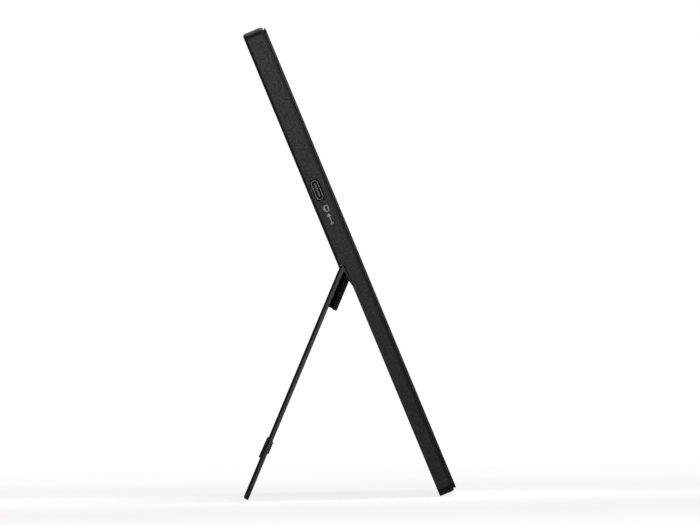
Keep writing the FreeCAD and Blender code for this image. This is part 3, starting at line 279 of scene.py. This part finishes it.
# moulded plastic, rubber, foam, film and ink differ only in their values
def grainFinish(name, look):
    material, tree, shader = newMaterial(name)
    grain = useGroup(tree, grainGroup, Frequency=look["frequency"], Fleck=look["fleck"])
    edge = useGroup(tree, edgeGroup, Radius=look["edge"], Breakup=look["breakup"])
    toned = mixColour(tree, grain.outputs["Tone"], look["colour"], look["fleckColour"])
    turn = lean - opening if look.get("onFlap") else lean
    depthAxis = (0, math.cos(turn), -math.sin(turn))
    heightAxis = (0, math.sin(turn), math.cos(turn))
    # a darker band on the ends past a given depth; on the block it is painted shade in its recess
    if "endBandColour" in look:
        endBandNode = useGroup(tree, endBandGroup, Depth=depthAxis, Origin=hingePlace, Start=look["endBandStart"],
                         Blend=look["endBandBlend"])
        toned = mixColour(tree, endBandNode.outputs["Layer"], toned, look["endBandColour"])
    # rounded edges darkened: painted shade
    if "roundShadeColour" in look:
        roundShade = useGroup(tree, roundShadeGroup, Depth=depthAxis, Height=heightAxis)
        toned = mixColour(tree, roundShade.outputs["RoundShade"], toned, look["roundShadeColour"])
    # faces that look up the slab lightened: dust and painted top light
    if "dustAndTopLightColour" in look:
        dustAndLight = useGroup(tree, dustAndTopLightGroup, Height=heightAxis, Breakup=look["breakup"])
        toned = mixColour(tree, dustAndLight.outputs["DustAndTopLight"], toned, look["dustAndTopLightColour"])
    # edge colour: worn edges where it is lighter than the part, painted shade where it is darker
    wornAndShaded = mixColour(tree, edge.outputs["WearAndShade"], toned, look["wearAndShadeColour"])
    tree.links.new(wornAndShaded, shader.inputs["Base Color"])
    shader.inputs["Specular IOR Level"].default_value = look.get("specular", 0.5)
    setSurface(tree, shader, look, grain.outputs["Height"], edge)
    return material


def metalFinish(name, look):
    material, tree, shader = newMaterial(name)
    streak = useGroup(tree, streakGroup, Across=look["across"], Along=look["along"]).outputs["Streak"]
    edge = useGroup(tree, edgeGroup, Radius=look["edge"], Breakup=look["breakup"])
    toned = mixColour(tree, streak, look["colour"], look["streakColour"])
    wornAndShaded = mixColour(tree, edge.outputs["WearAndShade"], toned, look["wearAndShadeColour"])
    tree.links.new(wornAndShaded, shader.inputs["Base Color"])
    shader.inputs["Metallic"].default_value = 1.0
    setSurface(tree, shader, look, streak, edge)
    return material


# circuit board: solder mask over a faint net of tracks
def boardFinish(name, look):
    material, tree, shader = newMaterial(name)
    tracks = addNode(tree, "ShaderNodeTexBrick", Scale=look["tracks"])
    for label, key in (("Color1", "colour"), ("Color2", "fieldColour"), ("Mortar", "trackColour")):
        tracks.inputs[label].default_value = (*look[key], 1)
    tracks.inputs["Mortar Size"].default_value = look["trackWidth"]
    tree.links.new(objectPlace(tree), tracks.inputs["Vector"])
    edge = useGroup(tree, edgeGroup, Radius=look["edge"], Breakup=look["breakup"])
    tree.links.new(tracks.outputs["Color"], shader.inputs["Base Color"])
    setSurface(tree, shader, look, tracks.outputs["Fac"], edge)
    return material


# lengths in metres, and colours as the shader takes them
plasticLooks = {
    "casing": {"colour": (0.0112, 0.0104, 0.0104), "fleckColour": (0.05, 0.0463, 0.0463), "fleck": 0.65,
               "roundShadeColour": (0.0045, 0.0044, 0.0044), "dustAndTopLightColour": (0.055, 0.053, 0.0525),
               "wearAndShadeColour": (0.006, 0.0058, 0.0058), "roughness": (0.5, 0.64), "frequency": 1150.0,
               "depth": 0.00003, "specular": 0.06, "edge": 0.0008, "breakup": 700.0, "hazeScale": 16.0,
               "hazeContrast": 1.2},
    "bezel": {"colour": (0.02, 0.0195, 0.0197), "fleckColour": (0.075, 0.072, 0.073), "fleck": 0.6,
              "roundShadeColour": (0.002, 0.002, 0.002), "dustAndTopLightColour": (0.04, 0.0387, 0.0385),
              "wearAndShadeColour": (0.012, 0.0118, 0.0118), "roughness": (0.52, 0.64), "frequency": 1150.0,
              "depth": 0.00002, "specular": 0.06, "edge": 0.0003, "breakup": 900.0, "hazeScale": 14.0,
              "hazeContrast": 1.2},
    # the block's colour is set far lighter than the casing's as painted light, for a part that sits in the
    # slab's shadow
    "block": {"colour": (0.066, 0.0642, 0.0642), "fleckColour": (0.11, 0.107, 0.107), "fleck": 0.4,
              "endBandStart": -0.0031, "endBandBlend": 0.0004, "endBandColour": (0.006, 0.006, 0.006),
              "roundShadeColour": (0.02, 0.02, 0.02), "wearAndShadeColour": (0.06, 0.059, 0.059), "onFlap": True,
              "roughness": (0.42, 0.55), "frequency": 900.0, "depth": 0.00002, "specular": 0.06,
              "edge": 0.0003, "breakup": 700.0, "hazeScale": 40.0, "hazeContrast": 1.2},
    "button": {"colour": (0.02, 0.0194, 0.0198), "fleckColour": (0.055, 0.0535, 0.054), "fleck": 0.5,
               "wearAndShadeColour": (0.075, 0.073, 0.074), "roughness": (0.42, 0.54), "frequency": 1800.0,
               "depth": 0.00002, "specular": 0.2, "edge": 0.0003, "breakup": 700.0, "hazeScale": 60.0,
               "hazeContrast": 1.2},
    "stand": {"colour": (0.038, 0.037, 0.0373), "fleckColour": (0.082, 0.0796, 0.0801), "fleck": 0.45,
              "endBandStart": 0.00005, "endBandBlend": 0.0002, "endBandColour": (0.0022, 0.0022, 0.0022),
              "wearAndShadeColour": (0.016, 0.0157, 0.0157), "onFlap": True, "roughness": (0.42, 0.54),
              "frequency": 1300.0, "depth": 0.00002, "specular": 0.06, "edge": 0.0003, "breakup": 800.0,
              "hazeScale": 14.0, "hazeContrast": 1.2},
    "rubber": {"colour": (0.012, 0.012, 0.0123), "fleckColour": (0.055, 0.055, 0.0555), "fleck": 0.8,
               "wearAndShadeColour": (0.024, 0.024, 0.0242), "roughness": (0.7, 0.85), "frequency": 1400.0,
               "depth": 0.00003, "specular": 0.08, "edge": 0.0004, "breakup": 500.0, "hazeScale": 30.0,
               "hazeContrast": 1.4},
    "foam": {"colour": (0.02, 0.02, 0.021), "fleckColour": (0.05, 0.05, 0.05), "fleck": 0.8,
             "wearAndShadeColour": (0.05, 0.05, 0.05), "roughness": (0.85, 0.95), "frequency": 900.0,
             "depth": 0.0001, "edge": 0.0004, "breakup": 500.0, "hazeScale": 40.0},
    "tape": {"colour": (0.008, 0.008, 0.008), "fleckColour": (0.018, 0.018, 0.018), "fleck": 0.5,
             "wearAndShadeColour": (0.02, 0.02, 0.02), "roughness": (0.5, 0.6), "frequency": 1500.0,
             "depth": 0.00001, "edge": 0.00005, "breakup": 500.0, "hazeScale": 20.0},
    "film": {"colour": (0.78, 0.8, 0.82), "fleckColour": (0.88, 0.9, 0.92), "fleck": 0.4,
             "wearAndShadeColour": (0.9, 0.9, 0.9), "roughness": (0.28, 0.4), "frequency": 4000.0,
             "depth": 0.00001, "edge": 0.0001, "breakup": 500.0, "hazeScale": 12.0},
    "clear_plastic": {"colour": (0.74, 0.8, 0.84), "fleckColour": (0.86, 0.9, 0.92), "fleck": 0.5,
                      "wearAndShadeColour": (0.9, 0.92, 0.93), "roughness": (0.08, 0.16), "frequency": 1200.0,
                      "depth": 0.00001, "edge": 0.0001, "breakup": 500.0, "hazeScale": 10.0},
    "reflector": {"colour": (0.86, 0.86, 0.85), "fleckColour": (0.93, 0.93, 0.92), "fleck": 0.4,
                  "wearAndShadeColour": (0.93, 0.93, 0.92), "roughness": (0.3, 0.4), "frequency": 2000.0,
                  "depth": 0.00001, "edge": 0.0001, "breakup": 500.0, "hazeScale": 10.0},
    "chip": {"colour": (0.014, 0.014, 0.015), "fleckColour": (0.04, 0.04, 0.041), "fleck": 0.5,
             "wearAndShadeColour": (0.06, 0.06, 0.06), "roughness": (0.45, 0.6), "frequency": 5000.0,
             "depth": 0.00001, "edge": 0.0001, "breakup": 900.0, "hazeScale": 60.0},
    "cable": {"colour": (0.42, 0.22, 0.04), "fleckColour": (0.56, 0.33, 0.08), "fleck": 0.6,
              "wearAndShadeColour": (0.6, 0.4, 0.15), "roughness": (0.25, 0.38), "frequency": 800.0,
              "depth": 0.00001, "edge": 0.00005, "breakup": 500.0, "hazeScale": 25.0},
    "connector": {"colour": (0.66, 0.63, 0.55), "fleckColour": (0.74, 0.72, 0.66), "fleck": 0.5,
                  "wearAndShadeColour": (0.8, 0.78, 0.72), "roughness": (0.4, 0.5), "frequency": 3000.0,
                  "depth": 0.00001, "edge": 0.0001, "breakup": 500.0, "hazeScale": 40.0},
    "screen": {"colour": (0.004, 0.0042, 0.005), "fleckColour": (0.009, 0.0095, 0.011), "fleck": 0.6,
               "wearAndShadeColour": (0.02, 0.02, 0.022), "roughness": (0.2, 0.27), "frequency": 6000.0,
               "depth": 0.000004, "specular": 0.3, "edge": 0.0001, "breakup": 500.0, "hazeScale": 7.0},
}
metalLooks = {
    "tray": {"colour": (0.58, 0.59, 0.6), "streakColour": (0.68, 0.69, 0.7), "wearAndShadeColour": (0.8, 0.8, 0.8),
             "roughness": (0.3, 0.42), "across": 2500.0, "along": 60.0, "depth": 0.000005,
             "edge": 0.0001, "breakup": 700.0, "hazeScale": 12.0},
    "socket_steel": {"colour": (0.08, 0.08, 0.082), "streakColour": (0.19, 0.19, 0.192),
                     "wearAndShadeColour": (0.28, 0.28, 0.282), "roughness": (0.22, 0.34), "across": 9000.0,
                     "along": 900.0, "depth": 0.000006, "edge": 0.00012, "breakup": 900.0,
                     "hazeScale": 90.0},
    "shield": {"colour": (0.5, 0.51, 0.52), "streakColour": (0.64, 0.65, 0.66),
               "wearAndShadeColour": (0.8, 0.8, 0.8), "roughness": (0.3, 0.4), "across": 4000.0, "along": 200.0,
               "depth": 0.000005, "edge": 0.0001, "breakup": 700.0, "hazeScale": 30.0},
    "contact": {"colour": (0.72, 0.5, 0.2), "streakColour": (0.86, 0.66, 0.32),
                "wearAndShadeColour": (0.95, 0.8, 0.5), "roughness": (0.2, 0.3), "across": 9000.0, "along": 900.0,
                "depth": 0.000003, "edge": 0.00003, "breakup": 900.0, "hazeScale": 200.0},
    "hinge_steel": {"colour": (0.012, 0.012, 0.0125), "streakColour": (0.022, 0.022, 0.0225),
                    "wearAndShadeColour": (0.05, 0.05, 0.051), "roughness": (0.32, 0.45), "across": 5000.0,
                    "along": 400.0, "depth": 0.000006, "edge": 0.00015, "breakup": 800.0,
                    "hazeScale": 60.0},
    "washer": {"colour": (0.5, 0.36, 0.17), "streakColour": (0.64, 0.48, 0.25),
               "wearAndShadeColour": (0.8, 0.65, 0.4), "roughness": (0.3, 0.4), "across": 7000.0, "along": 900.0,
               "depth": 0.000004, "edge": 0.00006, "breakup": 900.0, "hazeScale": 120.0},
    "screw": {"colour": (0.07, 0.07, 0.073), "streakColour": (0.12, 0.12, 0.124),
              "wearAndShadeColour": (0.4, 0.4, 0.41), "roughness": (0.3, 0.42), "across": 7000.0, "along": 900.0,
              "depth": 0.000005, "edge": 0.00012, "breakup": 900.0, "hazeScale": 120.0},
}
boardLooks = {
    "board": {"colour": (0.0035, 0.024, 0.011), "fieldColour": (0.0045, 0.029, 0.0135),
              "trackColour": (0.018, 0.065, 0.034), "tracks": 700.0, "trackWidth": 0.04,
              "roughness": (0.3, 0.42), "depth": 0.00002, "edge": 0.00008, "breakup": 600.0,
              "hazeScale": 30.0},
}

finishes = {}
for makeFinish, looks in ((grainFinish, plasticLooks), (metalFinish, metalLooks), (boardFinish, boardLooks)):
    finishes.update({slot: makeFinish(slot + "Finish", look) for slot, look in looks.items()})
slotOf = {part["node"]: part["material_slot"] for part in record["subparts"]}
for name, node in nodes.items():
    for place in node.material_slots:
        place.material = finishes[slotOf[name]]
print("finishes placed:", len(finishes))


# mesh helpers

# a band of faces between two rings with the same number of points
def joinRings(shape, first, second):
    for n in range(len(first)):
        shape.faces.new((first[n - 1], first[n], second[n], second[n - 1]))


def placePiece(shape, name, material, body):
    mesh = bpy.data.meshes.new(name)
    shape.to_mesh(mesh)
    shape.free()
    mesh.materials.append(material)
    piece = bpy.data.objects.new(name, mesh)
    bpy.context.scene.collection.objects.link(piece)
    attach(piece, body)


# a printed mark: closed outlines in mm, with or without a hole, raised a little on an end of the slab
def printMark(name, outlines, centre, face, outward, look, body):
    shape = bmesh.new()
    slabTurn = slabMatrix.to_3x3()
    along = slabTurn @ Vector((0, 0, 1))
    across = slabTurn @ Vector((0, outward, 0))  # the reader's right
    origin = slabMatrix @ (Vector((face, *centre)) * mm)
    lift = Vector((outward * look["thick"] * mm, 0, 0))

    def raiseOutline(outline):
        low = [origin + (across * u + along * v) * mm for u, v in outline]
        return [shape.verts.new(p) for p in low], [shape.verts.new(p + lift) for p in low]

    for outer, hole in outlines:
        base, top = raiseOutline(outer)
        joinRings(shape, base, top)
        if hole is None:
            shape.faces.new(base)
            shape.faces.new(top)
        else:
            holeBase, holeTop = raiseOutline(hole)
            joinRings(shape, holeTop, holeBase)
            joinRings(shape, top, holeTop)
            joinRings(shape, holeBase, base)
    bmesh.ops.recalc_face_normals(shape, faces=shape.faces)
    placePiece(shape, name, look["material"], body)


def bar(u0, u1, v0, v1):
    return [(u0, v0), (u1, v0), (u1, v1), (u0, v1)]


def roundedBox(u0, u1, v0, v1, radius, steps=5):
    corners = ((u1 - radius, v1 - radius, 0), (u0 + radius, v1 - radius, 90),
               (u0 + radius, v0 + radius, 180), (u1 - radius, v0 + radius, 270))
    points = []
    for u, v, start in corners:
        for n in range(steps + 1):
            angle = math.radians(start + 90 * n / steps)
            points.append((u + radius * math.cos(angle), v + radius * math.sin(angle)))
    return points


def arcBand(radius, width, start, stop, steps=28):
    angles = [math.radians(start + (stop - start) * n / steps) for n in range(steps + 1)]
    outer = [(radius * math.cos(angle), radius * math.sin(angle)) for angle in angles]
    inner = [((radius - width) * math.cos(angle), (radius - width) * math.sin(angle)) for angle in angles]
    return outer + list(reversed(inner))


inkLook = {"colour": (0.17, 0.17, 0.17), "fleckColour": (0.24, 0.24, 0.24), "fleck": 0.8,
           "wearAndShadeColour": (0.2, 0.2, 0.2), "roughness": (0.5, 0.62), "frequency": 5000.0, "depth": 0.000005,
           "edge": 0.00002, "breakup": 900.0, "hazeScale": 300.0, "hazeContrast": 1.4}
inkFinish = grainFinish("inkFinish", inkLook)

# plain signs beside the socket, in mm: a screen on its foot, and an arrow that points into the socket
portSigns = {"thick": 0.02, "material": inkFinish, "line": 0.34, "behind": 4.85,
             "screenAbove": 27.5, "screen": (-0.75, 1.2, -1.45, 1.45), "screenCorners": (0.25, 0.1),
             "foot": (-1.25, -0.98, -0.8, 0.8),
             "arrowAbove": 22.7, "shaft": (-2.6, 1.0), "head": ((1.0, 0.9), (0.0, 2.5), (-1.0, 0.9)),
             "tail": (-0.65, 0.65, -2.75, -1.9), "tailCorner": 0.3}


def makePortSigns():
    line = portSigns["line"]
    u0, u1, v0, v1 = portSigns["screen"]
    outerCorner, holeCorner = portSigns["screenCorners"]
    screen = roundedBox(u0, u1, v0, v1, outerCorner)
    hole = roundedBox(u0 + line, u1 - line, v0 + line, v1 - line, holeCorner)
    signs = {
        "screen": [(screen, hole), (bar(*portSigns["foot"]), None)],
        "arrow": [(bar(-line / 2, line / 2, *portSigns["shaft"]), None), (portSigns["head"], None),
                  (roundedBox(*portSigns["tail"], portSigns["tailCorner"]), None)],
    }
    face = -slab["width"] / 2
    depth = slab["depth"] - portSigns["behind"]
    for sign, outlines in signs.items():
        height = slab["hingeHeight"] + portSigns[sign + "Above"]
        printMark("port_sign_" + sign, outlines, (depth, height), face, -1, portSigns, "slab")


# one plain sign on each button, in mm
keySigns = {"thick": 0.02, "material": inkFinish, "line": 0.22, "proud": 0.4, "depth": 6.5, "first": 30.0,
            "pitch": 14.0, "reach": 0.75, "arrowBase": 0.35, "arrowTip": 0.55, "menuLines": (-0.5, 0.0, 0.5),
            "powerArc": (125, 415), "powerStem": (0.1, 0.95)}


def makeKeySigns():
    reach, base, tip = keySigns["reach"], keySigns["arrowBase"], keySigns["arrowTip"]
    half = keySigns["line"] / 2
    signs = {
        "down_button": [[(-reach, base), (reach, base), (0.0, -tip)]],
        "up_button": [[(reach, -base), (-reach, -base), (0.0, tip)]],
        "menu_button": [bar(-reach, reach, v - half, v + half) for v in keySigns["menuLines"]],
        "power_button": [arcBand(reach, keySigns["line"], *keySigns["powerArc"]),
                         bar(-half, half, *keySigns["powerStem"])],
    }
    face = slab["width"] / 2 + keySigns["proud"]
    for number, (button, outlines) in enumerate(signs.items()):
        height = slab["hingeHeight"] + keySigns["first"] + keySigns["pitch"] * number
        printMark(button + "_sign", [(outline, None) for outline in outlines], (keySigns["depth"], height),
                  face, 1, keySigns, button)


# both ends of the hinge line, in mm from it: a cheek fairs the casing into the step, over a thin black
# sheet of painted shade that darkens the hinge gap
endPieces = {
    "hinge_fairing": {"inner": 179.62, "outer": 179.98, "edge": 0.06, "finish": "casing",
                      "outline": ((-1.39, -9.6), (-1.1, -8.5), (-0.72, -6.9), (-0.56, -5.4), (-0.47, -4.0),
                                  (-0.36, -2.8), (-0.5, -2.1), (-0.8, -1.3), (-1.0, -0.75), (-1.2, -0.35),
                                  (-1.39, -0.2))},
    # a thin black sheet at each end of the hinge gap: painted shade
    "hinge_seal": {"inner": 179.46, "outer": 179.61, "edge": 0.03, "finish": "tape",
                   "outline": ((-1.39, -3.2), (-0.45, -2.75), (0.05, -1.95), (-0.03, -1.73), (-0.66, -1.09),
                               (-0.95, -0.76), (-1.22, -0.36), (-1.39, -0.22))},
}


def makeEndPiece(name, look, sense):
    shape = bmesh.new()
    rings = []
    for across in (look["inner"], look["outer"]):
        rings.append([shape.verts.new(slabMatrix @ (hingeLocal + Vector((sense * across, y, z)) * mm))
                      for y, z in look["outline"]])
        shape.faces.new(rings[-1])
    joinRings(shape, *rings)
    bmesh.ops.recalc_face_normals(shape, faces=shape.faces)
    bmesh.ops.bevel(shape, geom=list(shape.edges), offset=look["edge"] * mm, segments=2, affect="EDGES",
                    clamp_overlap=True)
    placePiece(shape, name, finishes[look["finish"]], "slab")


makePortSigns()
makeKeySigns()
for name, look in endPieces.items():
    makeEndPiece(name + "_left", look, -1)
    makeEndPiece(name + "_right", look, 1)
print("signs and hinge trim placed")


# floor, light and camera

def seenRay(tree):
    path = tree.nodes.new("ShaderNodeLightPath")
    glossy = mathNode(tree, "ADD", path.outputs["Is Camera Ray"], path.outputs["Is Glossy Ray"], clamp=True)
    return mathNode(tree, "ADD", glossy, path.outputs["Is Transmission Ray"], clamp=True)


def mixSurface(tree, share, lit, white, output):
    mix = tree.nodes.new("ShaderNodeMixShader")
    for socket, source in zip(mix.inputs, (share, lit.outputs[0], white.outputs[0])):
        tree.links.new(source, socket)
    tree.links.new(mix.outputs[0], tree.nodes[output].inputs["Surface"])


def makeFloor():
    look = {"size": 60.0, "height": -0.0004, "colour": (0.8, 0.8, 0.8), "roughness": 0.9,
            "whiteShare": 0.85, "near": 0.35, "far": 1.6}  # the sweep fades to white from near to far
    bpy.ops.mesh.primitive_plane_add(size=look["size"], location=(0, 0, look["height"]))
    floor = bpy.context.object
    floor.name = "floor"
    material, tree, shader = newMaterial("floorFinish")
    shader.inputs["Base Color"].default_value = (*look["colour"], 1)
    shader.inputs["Roughness"].default_value = look["roughness"]
    shader.inputs["Specular IOR Level"].default_value = 0.0
    white = addNode(tree, "ShaderNodeEmission", Strength=1.0)
    distance = vectorNode(tree, "LENGTH", objectPlace(tree))
    fade = smoothRamp(tree, distance, look["near"], look["far"], look["whiteShare"])
    mixSurface(tree, mathNode(tree, "MULTIPLY", seenRay(tree), fade), shader, white, "Material Output")
    floor.data.materials.append(material)


def makeWorld():
    look = {"ambient": (0.5, 0.5, 0.505), "strength": 0.3}
    world = bpy.data.worlds.new("studio")
    bpy.context.scene.world = world
    world.use_nodes = True
    tree = world.node_tree
    ambient = tree.nodes["Background"]
    ambient.inputs["Color"].default_value = (*look["ambient"], 1)
    ambient.inputs["Strength"].default_value = look["strength"]
    white = addNode(tree, "ShaderNodeBackground", Color=(1, 1, 1, 1), Strength=1.0)
    mixSurface(tree, seenRay(tree), ambient, white, "World Output")


# places in metres, power in watts, spread in degrees
lamps = {
    "keyLamp": {"place": (-0.75, -0.2, 0.4), "target": (-0.18, 0.045, 0.22), "size": (0.16, 0.16),
                "power": 0.44, "spread": 50},
    "topLamp": {"place": (0.12, -0.1, 0.66), "target": (-0.1, 0.03, 0.2), "size": (0.3, 0.3),
                "power": 0.9, "spread": 60},
    "frontLamp": {"place": (0.1, -1.5, 0.7), "target": (0, 0, 0.1), "size": (1.0, 0.8),
                  "power": 7.5, "spread": 180},
    "backLamp": {"place": (0.3, 1.5, 0.8), "target": (0, 0, 0.1), "size": (1.0, 0.8),
                 "power": 2.9, "spread": 180},
    "sideLamp": {"place": (1.0, 0, 0.6), "target": (0.18, 0, 0.12), "size": (0.6, 0.6),
                 "power": 4.0, "spread": 180},
}


def makeLamp(name, look):
    lamp = bpy.data.lights.new(name, "AREA")
    lamp.shape = "RECTANGLE"
    lamp.size, lamp.size_y = look["size"]
    lamp.energy = look["power"]
    lamp.spread = math.radians(look["spread"])
    holder = bpy.data.objects.new(name, lamp)
    bpy.context.scene.collection.objects.link(holder)
    holder.location = look["place"]
    aim = Vector(look["target"]) - Vector(look["place"])
    holder.rotation_euler = aim.to_track_quat("-Z", "Y").to_euler()


def makeCamera():
    look = {"pixelsPerMetre": 2223.0, "distance": 10.5, "roll": 0.93, "sensor": 36.0, "clipEnd": 100.0,
            "frame": (700, 525), "hingePixel": (342.0, 268.1)}  # where the hinge line stands in the picture
    data = bpy.data.cameras.new("photoCamera")
    camera = bpy.data.objects.new("photoCamera", data)
    bpy.context.scene.collection.objects.link(camera)
    frameWidth, frameHeight = look["frame"]
    data.sensor_width = look["sensor"]
    data.lens = look["pixelsPerMetre"] * look["distance"] * look["sensor"] / frameWidth
    data.clip_end = look["clipEnd"]
    roll = math.radians(look["roll"])
    right = Vector((0, -math.cos(roll), -math.sin(roll)))
    up = Vector((0, -math.sin(roll), math.cos(roll)))
    back = right.cross(up)
    hingeEnd = Vector((-slab["width"] / 2 * mm, *hingePlace[1:]))
    across = (look["hingePixel"][0] - frameWidth / 2) / look["pixelsPerMetre"]
    rise = (frameHeight / 2 - look["hingePixel"][1]) / look["pixelsPerMetre"]
    middle = hingeEnd - right * across - up * rise
    turn = Matrix((right, up, back)).transposed().to_4x4()
    camera.matrix_world = Matrix.Translation(middle + back * look["distance"]) @ turn
    bpy.context.scene.camera = camera


makeFloor()
makeWorld()
for name, look in lamps.items():
    makeLamp(name, look)
makeCamera()
bpy.context.scene.view_settings.view_transform = "Standard"
print("studio set")
